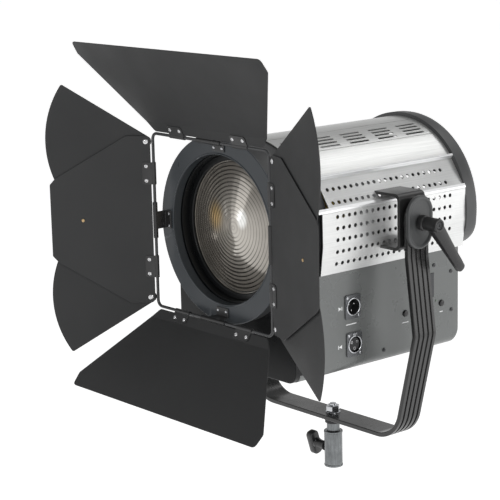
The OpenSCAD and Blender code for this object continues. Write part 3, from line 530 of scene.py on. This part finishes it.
for m in SIDES:
    for y, z in ((280, -70), (312, -83), (313, -135), (188, -166)):
        p = m @ T((WALL, y, z)) @ ALONG_X
        s.lathe([(2.8, 0.0), (2.8, 0.5), (2.3, 1.2), (1.2, 1.5), (0.02, 1.5)], p, 28, loop=False)
        # painted shade: flat dark bars on each screw head stand in for the shade in its cross recess
        for a in (20, 110):
            recess_shade.prism(rect(-1.5, -0.32, 1.5, 0.32), 1.3, 1.51, p @ R(a, "Z"))
s.make("pan_screws", SCREW, "head", bevel=0, replaces=["housing_screws"], slot="screw_steel")
recess_shade.make("screw_recess_shade", MATT, "head", bevel=0)

# ---------------------------------------------------------------- rear


def outline(g):
    """The rear cap's outline, grown by g."""
    return (arc(83.2, -19, 33 + g, -90, -3, 14) + arc(0, c, 117 + g, -6.2, 186.2, 84)
            + arc(-83.2, -19, 33 + g, 183, 270, 14))


def rim(g, y):
    return [(x, y, z) for x, z in outline(g)]


s = Shape()
s.loft([rim(3, 334.0), rim(3.05, 336), rim(3, 347), rim(2.2, 352), rim(1.0, 355.4), rim(-0.4, 356.7),
        rim(-2.2, 357), rim(-3.4, 356.6), rim(-4, 355.6), rim(-4, 334)], loop=True)
s.box((-88, 326, -60), (88, 334.2, -51))
s.make("rear_rim", CAP, "head", bevel=0.4, smooth=24, replaces=["rear_cap"], slot="cap_casting")

s, cut = Shape(), Shape()
s.prism(outline(-4.05), 346, 348, ALONG_Y)
s.loft([[(x, y, z) for x, z in outline(g)] for g, y in ((-4.05, 334.2), (-4.05, 336.2))])
for i in range(9):
    z = -8 + 11 * i
    w = sqrt(98 * 98 - (z - c) ** 2) - 12
    cut.prism(rect(-w, z - 2.2, w, z + 2.2, 2.1, 5), 345, 349, ALONG_Y)
cut.lathe([(5.3, 345), (5.3, 349)], T((0, 0, -37)) @ ALONG_Y, 40, loop=False)
cut.lathe([(80, 333), (80, 338)], T((0, 0, 12)) @ ALONG_Y, 64, loop=False)
cut.lathe([(7, 333), (7, 338)], T((0, 0, -37)) @ ALONG_Y, 32, loop=False)
for m in SIDES:
    cut.lathe([(4.4, 333), (4.4, 338)], m @ T((88, 0, -46)) @ ALONG_Y, 24, loop=False)
s.make("rear_plate", CAP, "head", bevel=0.3, replaces=["rear_panel"], slot="cap_casting", cut=cut)

# ---------------------------------------------------------------- tilt brackets, bolts, lever

s = Shape()
for m in SIDES:
    s.prism(rounded([(104, 41), (150, 41, 8), (150, -31, 8), (104, -31), (104, -27), (146, -27, 5),
                     (146, 37, 5), (104, 37)], 8), 179, 225, m @ ALONG_Y)
s.make("tilt_channels", BRACKET, "head", bevel=0.6, segments=3, replaces=["tilt_brackets"],
       slot="bracket_paint")

PIVOT = T((0, 202, 5))  # the tilt axis
s = Shape()
for m in SIDES:
    s.prism([(9 * cos(radians(a)), 9 * sin(radians(a))) for a in range(0, 360, 60)], 140, 146,
            m @ PIVOT @ ALONG_X)
    s.lathe([(5, 145), (5, 180)], m @ PIVOT @ ALONG_X, 40, loop=False)
s.make("pivot_bolt_heads", STEEL, "head", bevel=0.5, replaces=["pivot_bolts"], slot="steel")

CAP_X = 160.03  # the arm covers' inner face
PIVOT_Z = 357  # the tilt pivot's height in the yoke's axes


def stadium(g, h=12.0, r=22.0, n=20):
    return [(x, y) for x, y in arc(0, h, r + g, 0, 180, n)] + arc(0, -h, r + g, 180, 360, n)


def ring_at(g, x):
    return [(x, a, b) for a, b in stadium(g)]


caps = Shape()
for m in SIDES:
    caps.loft([ring_at(g, CAP_X + x) for g, x in
               ((-0.4, 0), (0, 0.6), (0, 3.2), (-0.5, 4.2), (-1.6, 4.85), (-3.2, 4.9), (-4.6, 4.4),
                (-5.2, 3.7), (-6.2, 3.4), (-12, 3.45))], m @ T((0, 0, PIVOT_Z)))
caps.make("arm_cap_covers", CAP_PLASTIC, "yoke", LOW, bevel=0, smooth=40, replaces=["arm_caps"],
          slot="cap_plastic")

LEVER_X = CAP_X + 5
s = Shape()
s.lathe([(r, LEVER_X + x) for r, x in
         ((0.02, 0.4), (8.8, 0.4), (10, 1.4), (10, 7.6), (9.4, 8.8), (8.7, 9.4), (8.6, 26), (8.6, 30),
          (7.9, 31.6), (6.4, 31.9), (5.3, 31.5), (5.2, 29.2), (0.02, 29.2))], PIVOT @ ALONG_X, 64)
secs, tip = [], 12
for t in range(tip + 1):
    u = t / tip
    z = -2 - 75 * u
    half_t = (8.6 + (5.0 - 8.6) * min(1, u * 1.5)) if u < 0.67 else 5.0
    half_w = 9.2 + (6.4 - 9.2) * u
    if t == tip:
        half_t, half_w, z = half_t * 0.75, half_w * 0.72, -77.4
    if t == tip - 1:
        half_t, half_w, z = half_t * 0.96, half_w * 0.95, -75
    cx = LEVER_X + 22 + 3.2 * u
    secs.append([(cx + half_t * copysign(abs(cos(a)) ** 0.55, cos(a)),
                  half_w * copysign(abs(sin(a)) ** 0.7, sin(a)),
                  z) for a in [2 * pi * i / 32 for i in range(32)]])
s.loft(secs, PIVOT @ R(36, "X"))
s.make("lever_handle", PLASTIC, "tilt_lever", bevel=0.3, smooth=40, replaces=["tilt_lever"],
       slot="knob_plastic")
s = Shape()
s.lathe([(r, LEVER_X + x) for r, x in
         ((4.9, 29.3), (4.9, 30.6), (4.4, 31.2), (3.6, 31.2), (3.4, 30.6), (2.0, 30.5), (1.7, 29.6),
          (0.02, 29.6), (0.02, 29.3))], PIVOT @ ALONG_X, 40)
s.make("lever_screw_head", SCREW, "tilt_lever", bevel=0.12, replaces=["lever_screw"], slot="screw_steel")

# ---------------------------------------------------------------- yoke


def bar_path():
    """(x, z, heading) along the right half of the bar's outer face; z is over its underside."""
    flat_end = 102
    pts = [(0, 0, 0), (60, 0, 0), (flat_end, 0, 0)]

    def turn(x, z, h, r, a, n):
        """An arc of radius r through a degrees, from x, z and heading h."""
        r = copysign(r, a)
        got = []
        for i in range(1, n + 1):
            b = h + a * i / n
            got.append((x + r * (sin(radians(b)) - sin(radians(h))),
                        z + r * (cos(radians(h)) - cos(radians(b))), b))
        return got

    def straight(x, z, h, *distances):
        return [(x + d * cos(radians(h)), z + d * sin(radians(h)), h) for d in distances]

    pts += turn(*pts[-1], 45, 76, 24)
    pts += straight(*pts[-1], 30, 109.6)
    pts += turn(*pts[-1], 20, 21.5, 8)
    pts += straight(*pts[-1], 95)
    pts += turn(*pts[-1], 20, -7.5, 5)
    return pts


# the bar's section: five ribs on its outer face, with grooves between them
ribs, gap, bar_half = 5, 3.0, 19
rib = (2 * bar_half - (ribs - 1) * gap) / ribs
prof = []
for i in range(ribs):
    y0 = -bar_half + i * (rib + gap)
    y1 = y0 + rib
    first_rib, last_rib = i == 0, i == ribs - 1
    e = 0.9 if first_rib else 0.45
    f = 0.9 if last_rib else 0.45
    prof += [(y0, 1.2 if first_rib else 1.5), (y0 + 0.05, e), (y0 + e, 0.02), (y1 - f, 0.02), (y1 - 0.05, f),
             (y1, 1.2 if last_rib else 1.5)]
prof += [(bar_half, 5.2), (18.2, 6), (-18.2, 6), (-bar_half, 5.2)]
s = Shape()
half = []
for x, z, h in bar_path():
    nx, nz = -sin(radians(h)), cos(radians(h))
    half.append([(x + nx * d, y, z + nz * d) for y, d in prof])
arm_x = bar_path()[-1][0]
tops = [(292, 1), (296, 1)]
tops += [(296 + 19 * sin(radians(a)), max(0.12, cos(radians(a)))) for a in range(10, 86, 8)]
for z, k in tops:
    half.append([(arm_x - d, y * k, z) for y, d in prof])
left = [[(-x, y, z) for x, y, z in ring] for ring in reversed(half[1:])]
s.loft(left + half, T((0, 0, 69)))
s.make("yoke_strip", BLACK_POWDER, "yoke", LOW, bevel=0, smooth=40, replaces=["yoke_bar"], slot="yoke_paint")

s = Shape()
for m in SIDES:
    s.lathe([(5.2, 150.05), (16.6, 150.05), (17, 150.5), (17, 153.5), (16.6, 154), (5.2, 154)],
            m @ T((0, 0, PIVOT_Z)) @ ALONG_X, 64)
s.make("friction_discs", MATT, "yoke", LOW, bevel=0, replaces=["friction_washers"], slot="washer_black")

# stand socket
s = Shape()
s.lathe([(8.1, 0.4), (8.6, 0.02), (12.4, 0.02), (12.9, 0.5), (12.9, 2.6), (12.3, 3.1), (12.25, 44),
         (12.25, 46.6), (12.9, 47.1), (12.9, 49.4), (12.3, 49.98), (9.6, 50), (8.8, 50.6), (8.8, 60.9),
         (5, 60.98), (5, 48), (0.02, 48), (0.02, 42), (8.1, 42)], None, 80)
s.make("socket_sleeve", ZINC, "yoke", LOW, bevel=0.25, replaces=["stand_receiver"], slot="zinc")
s = Shape()
s.lathe([(5, 61.02), (10.6, 61.02), (11, 61.4), (11, 64.8), (11.6, 65.1), (12, 65.5), (12, 68.6),
         (11.6, 68.98), (5, 68.98)], None, 64)
s.make("socket_washers", MATT, "yoke", LOW, bevel=0.15, replaces=["receiver_washer"], slot="washer_black")
s = Shape()
s.lathe([(5.1, 75.02), (9.6, 75.02), (10, 75.3), (10, 76.2), (9.6, 76.5), (5.1, 76.5)], None, 48)
nut_r = 9.7
s.loft([[(nut_r * k * cos(radians(a)), nut_r * k * sin(radians(a)), z) for a in range(10, 370, 60)]
        for z, k in ((76.5, 0.94), (77.3, 1), (84.0, 1), (84.95, 0.93))])
s.lathe([(0.02, 84.9), (4.9, 84.9), (4.9, 87.2), (4.2, 87.95), (0.02, 87.95)], None, 32)
s.make("socket_nut", CHROME, "yoke", LOW, bevel=0.2, replaces=["receiver_nut", "receiver_bolt"],
       slot="chrome_bolt")

# T handle
KNOB = T((0, 0, 24))
s = Shape()
s.lathe([(0.02, -33.2), (7, -33.2), (7, -30.8), (6.2, -30), (5.6, -18.2), (7, -17.2), (7, -15.2), (6.6, -15),
         (0.02, -15)], KNOB @ ALONG_X, 48)
secs = []
for x, k in ((-44, 0.8), (-43.4, 0.93), (-42.2, 1), (-34.8, 1), (-33.6, 0.93), (-33, 0.8)):
    secs.append([(x, a * k, b * (0.55 + 0.45 * k)) for a, b in rect(-7.4, -17, 7.4, 17, 5.5, 8)])
s.loft(secs, KNOB @ R(17, "X"))
s.make("t_handle", PLASTIC, "receiver_knob", LOW, bevel=0, smooth=40, replaces=["receiver_knob"],
       slot="knob_plastic")
s = Shape()
s.lathe([(3.95, -15.1), (3.95, -10.4), (3.2, -9.7), (0.02, -9.7), (0.02, -15.1)], KNOB @ ALONG_X, 32)
s.make("t_handle_screw", ZINC, "receiver_knob", LOW, bevel=0.1, slot="zinc")

# ---------------------------------------------------------------- barn door

s = Shape()
s.lathe([(94.65, 16.2), (94.75, 15.2), (95.3, 14.8), (96.1, 14.8), (96.7, 15.2), (97, 15.65), (118.7, 15.65),
         (119.35, 16.1), (119.35, 17.1), (118.8, 17.55), (97, 17.6), (97, 27), (94.7, 27)], ALONG_Y, 200)
cut = Shape()
cut.box((-1.2, 10, 104), (1.2, 20, 110.5))
s.make("door_ring", RING, "barndoor", bevel=0.2, replaces=["barndoor_ring"], slot="ring_paint", cut=cut)

# four tabs: a sleeve on the rod, and a strap bent down to the ring
tabs, riv = Shape(), Shape()
for k in range(4):
    B = R(-90 * k, "Y")
    tabs.lathe([(2.05, -23.4), (2.8, -23.4), (3.15, -23.0), (3.15, 23.0), (2.8, 23.4), (2.05, 23.4)],
               B @ T((ROD, 0, 0)), 28)
    strap = rounded([(109.85, -0.5), (111.15, -0.5), (111.15, 15.55), (99, 15.55), (99, 14.2),
                     (109.85, 14.2, 0.9)], 3)
    tabs.prism(strap, -11.4, 11.4, B)
    tabs.prism(rect(-11.2, 100, 11.2, 110.2, 2.2, 5), 13.9, 14.3,
               B @ Matrix(((0, 1, 0, 0), (0, 0, 1, 0), (1, 0, 0, 0), (0, 0, 0, 1))))
    for z in (-7.8, 7.8):
        riv.lathe([(1.9, 0), (1.9, 0.4), (1.3, 1.05), (0.02, 1.15)], B @ T((103.5, 14.2, z)) @ Y, 24,
                  loop=False)
tabs.make("ring_tabs", CLIP, "barndoor", bevel=0.25, replaces=["barndoor_tabs"], slot="clip_paint")
riv.make("ring_rivets", NICKEL, "barndoor", bevel=0, replaces=["tab_rivets"], slot="rivet")

path = []
bend_at = ROD - CORNER
for k in range(4):
    B = R(-90 * k, "Y")
    path.append(B @ Vector((ROD, 0, 0)))
    path += [B @ Vector((bend_at + CORNER * cos(radians(a)), 0, bend_at + CORNER * sin(radians(a))))
             for a in range(0, 91, 9)]
s = Shape()
loops = []
wire_r, across, wire_sides = 2, Vector((0, 1, 0)), 20
for i, p in enumerate(path):
    outward = (path[(i + 1) % len(path)] - path[i - 1]).normalized().cross(across)
    turns = [2 * pi * j / wire_sides for j in range(wire_sides)]
    loops.append([tuple(p + wire_r * (across * cos(a) + outward * sin(a))) for a in turns])
s.loft(loops, loop=True)
s.make("wire_frame", WIRE, "barndoor", bevel=0, smooth=50, replaces=["barndoor_frame"], slot="frame_steel")


PIN_U, PIN_V = 9.4, 102  # the wings' pivot pins, out from the rod and along it


def clip_set(name, body, m, extra_pins=False):
    """Clips rolled round the wire, with their eyelets; side leaves also carry wing pins and a stud."""
    clips, eyes, brass = Shape(), Shape(), Shape()
    for end in (-1, 1):
        v = 61 * end
        roll = [(3.0 * cos(radians(a)), 3.0 * sin(radians(a))) for a in range(31, 330, 13)]
        inner_roll = [(2.06 * cos(radians(a)), 2.06 * sin(radians(a))) for a in range(326, 30, -13)]
        clips.prism(roll + inner_roll, -v - 14.4, -v + 14.4, m @ R(90, "X"))
        clips.prism(rounded([(1.4, v - 14.4), (15, v - 14.4, 4), (15, v + 14.4, 4), (1.4, v + 14.4)], 6),
                    0.61, 1.6, m)
        for t in (-1, 1):
            e = m @ T((9.5, v + 9.4 * t, 1.6))
            eyes.lathe([(2.5, 0), (2.5, 0.5), (1.9, 1.0), (1.3, 1.05), (0.9, 0.7), (0.8, 0.0)], e, 28)
            eyes.lathe([(0.85, 0.0), (0.85, 0.3), (0.02, 0.3)], e, 16, loop=False)
    if extra_pins:
        for end in (-1, 1):
            e = m @ T((PIN_U, PIN_V * end, 0))
            eyes.lathe([(3.3, 0.6), (3.3, 1.1), (2.5, 1.65), (1.5, 1.7), (1.2, 1.3), (0.02, 1.3)], e, 32,
                       loop=False)
            eyes.lathe([(2, -4.9), (2, 0.6)], e, 24, loop=False)
            eyes.lathe([(0.02, -5.95), (2.6, -5.9), (3.3, -5.5), (3.3, -5.0), (0.02, -5.0)], e, 32,
                       loop=False)
        e = m @ T((94, 0, 0.6))
        brass.lathe([(2.2, 0), (2.2, 0.55), (1.7, 0.98), (0.8, 1.0), (0.6, 0.7), (0.02, 0.7)], e, 28,
                    loop=False)
        brass.make(name + "_stud", BRASS, body, bevel=0, slot="rivet")
    clips.make(name + "_clips", CLIP, body, bevel=0.22, replaces=[body + "_clips"], slot="clip_paint")
    eyes.make(name + "_eyelets", RIVET, body, bevel=0, replaces=[body + "_rivets"], slot="rivet")


def wide_leaf(name, body, k, whole):
    """A leaf bent forward past its strip; whole is the angle of the line from its rod to its free edge."""
    bend, reach, strip, half_t = radians(11), 138, 17, 0.6
    m = side(k, whole - degrees(asin(sin(bend) * (reach - strip) / reach)))
    # distance along the sheet and half width there
    stations = [(3.6, 103.5), (4.4, 105.2), (6, 107.2), (14, 114.0), (15.5, 115.3)]
    stations += [(strip + d, 116.6 + d * 0.66) for d in (-0.6, 0, 0.6, 1.6)]
    stations += [(strip + (119 - strip) * f, 116.6 + (184 - 116.6) * f) for f in (0.25, 0.5, 0.75, 0.97)]
    stations += [(119, 183.9), (122, 184), (133, 182.7), (135.4, 181.8), (137, 180.2), (137.9, 177)]
    sections = []
    for dist, w in stations:
        if dist <= strip:
            u, d, a = dist, 0.0, 0.0
        else:
            u, d, a = strip + (dist - strip) * cos(bend), (dist - strip) * sin(bend), bend
        if abs(dist - strip) < 0.7:
            a = bend * (dist - 16.3) / 1.4
        nx, nz = -sin(a) * half_t, cos(a) * half_t
        sections.append([(u + nx, -w, d + nz), (u + nx, w, d + nz), (u - nx, w, d - nz),
                         (u - nx, -w, d - nz)])
    s = Shape()
    s.loft(sections, m)
    s.make(name + "_sheet", LEAF, body, bevel=0.25, smooth=35, replaces=[body], slot="leaf_paint")
    clip_set(name, body, m)


def narrow_leaf(name, body, k, lean, wings):
    """A flat leaf; a wing is (node, end of the leaf, its outer edge's angle, layer behind the leaf)."""
    wing_r, wing_span = 130, 62
    m = side(k, lean)
    s = Shape()
    half = [(136, 47, 3), (129, 54.6, 2), (35, 109.6, 8), (3.6, 109.2, 6)]
    s.prism(rounded(half + [(x, -y, r) for x, y, r in reversed(half)]), -0.6, 0.6, m)
    s.make(name + "_sheet", LEAF, body, bevel=0.25, replaces=[body], slot="leaf_paint")
    clip_set(name, body, m, True)
    for node, end, edge_a, layer in wings:
        z = -0.6 - 1.9 * (layer + 1)
        pts = arc(0, 0, wing_r, edge_a - wing_span, edge_a, 28)
        pts[-1] = (*pts[-1], 2.5)
        pts[0] = (*pts[0], 6)
        hub = arc(0, 0, 7, edge_a + 90, edge_a + 240, 12)
        poly = rounded(pts + hub)
        w = Shape()
        w.prism([(x, y * end) for x, y in poly], z, z + 1.2, m @ T((PIN_U, PIN_V * end, 0)))
        w.make(node + "_sheet", LEAF, node, bevel=0.25, replaces=[node], slot="leaf_paint")


wide_leaf("top_leaf", "door_top", 1, 31)
wide_leaf("bottom_leaf", "door_bottom", 3, 42)
narrow_leaf("left_leaf", "door_left", 2, 45, [("wing_left_upper", -1, 35, 0), ("wing_left_lower", 1, 35, 1)])
narrow_leaf("right_leaf", "door_right", 0, 18, [("wing_right_upper", 1, 36, 0),
                                                ("wing_right_lower", -1, 27, 1)])

# ---------------------------------------------------------------- CAD nodes that stay as they are

looks = {"pivot_nut": PLASTIC, "guide_rods": STEEL, "power_supply": PSU, "control_board": BOARD,
         "mains_fittings": MATT, "focus_knob": PLASTIC, "lead_screw": STEEL, "led_carriage": SINK,
         "led_module": LED, "heatsink": SINK, "fan_frame": MATT, "fan_rotor": MATT, "power_switch": PLASTIC,
         "rear_panel": CAP}
for node, o in frame["nodes"].items():
    m = looks.get(node)
    if m is None:
        slot_name = next((x["material_slot"] for x in frame["record"]["subparts"] if x["node"] == node), "")
        m = bpy.data.materials.get(slot_name) or MATT
    o.data.materials.clear()
    o.data.materials.append(m)

# ---------------------------------------------------------------- room, lights, camera

ground = material("ground", (0.9, 0.9, 0.9), 0.8, vary=0.01, grain=40, bump=0.0, spec=0.1)
me = bpy.data.meshes.new("floor")
reach, floor_z = 60, -0.42
me.from_pydata([(x, y, floor_z) for x, y in ((-reach, -reach), (reach, -reach), (reach, reach),
                                             (-reach, reach))],
               [], [(0, 1, 2, 3)])
fill(ground.node_tree, ground.node_tree.nodes["Principled BSDF"],
     {"Emission Color": (1, 1, 1, 1), "Emission Strength": 0.66})
me.materials.append(ground)
floor = bpy.data.objects.new("floor", me)
bpy.context.scene.collection.objects.link(floor)

world = bpy.data.worlds.new("world")
bpy.context.scene.world = world
world.use_nodes = True
# brighter near the horizon than overhead, so that level views have a white ground behind them
sky = world.node_tree
direction = add_node(sky, "TexCoord").outputs["Generated"]
height = add_node(sky, "SeparateXYZ", None, {0: direction}).outputs["Z"]
glow = add_node(sky, "MapRange", {"From Min": 0.07, "From Max": 0.45, "To Min": 1.0, "To Max": 0.34},
                {"Value": height}).outputs["Result"]
fill(sky, sky.nodes["Background"], {"Color": (1.0, 1.0, 1.0, 1)}, {"Strength": glow})


def softbox(name, place, aim, size, power, size_y=None):
    d = bpy.data.lights.new(name, "AREA")
    d.energy, d.size, d.shape = power, size, "RECTANGLE"
    d.size_y = size_y or size
    o = bpy.data.objects.new(name, d)
    bpy.context.scene.collection.objects.link(o)
    o.location = place
    o.rotation_mode = "QUATERNION"
    o.rotation_quaternion = (Vector(aim) - Vector(place)).to_track_quat("-Z", "Y")
    return o


softbox("key", (2.3, -0.5, 1.4), (0, 0, 0.35), 1.0, 19, 1.3)
softbox("side", (1.9, 1.7, 0.5), (0, 0, 0.35), 1.6, 6, 1.2)
softbox("back_top", (0.3, 1.6, 2.3), (0, 0, 0.4), 1.3, 8.6, 1.2)
softbox("fill", (-1.5, -2.3, 1.3), (0, -0.2, 0.35), 1.0, 4.2, 1.3)
softbox("glint", (0.9, -2.5, 1.0), (0, -0.2, 0.35), 0.3, 4.2, 0.5)

aim = Vector((0.0345, -0.1687, 0.3291))
az, el, roll, distance = radians(49.83), radians(12.06), radians(-1.33), 2.1447
back = Vector((sin(az) * cos(el), -cos(az) * cos(el), sin(el)))
right = (-back).cross(Vector((0, 0, 1))).normalized()
up = right.cross(-back)
right, up = cos(roll) * right + sin(roll) * up, cos(roll) * up - sin(roll) * right
cd = bpy.data.cameras.new("camera")
cd.lens, cd.sensor_width = 124.67, 36
cd.dof.use_dof = False
cam = bpy.data.objects.new("camera", cd)
bpy.context.scene.collection.objects.link(cam)
place = aim + back * distance
cam.matrix_world = Matrix(((right.x, up.x, back.x, place.x), (right.y, up.y, back.y, place.y),
                           (right.z, up.z, back.z, place.z), (0, 0, 0, 1)))
bpy.context.scene.camera = cam
bpy.context.scene.view_settings.view_transform = "Standard"
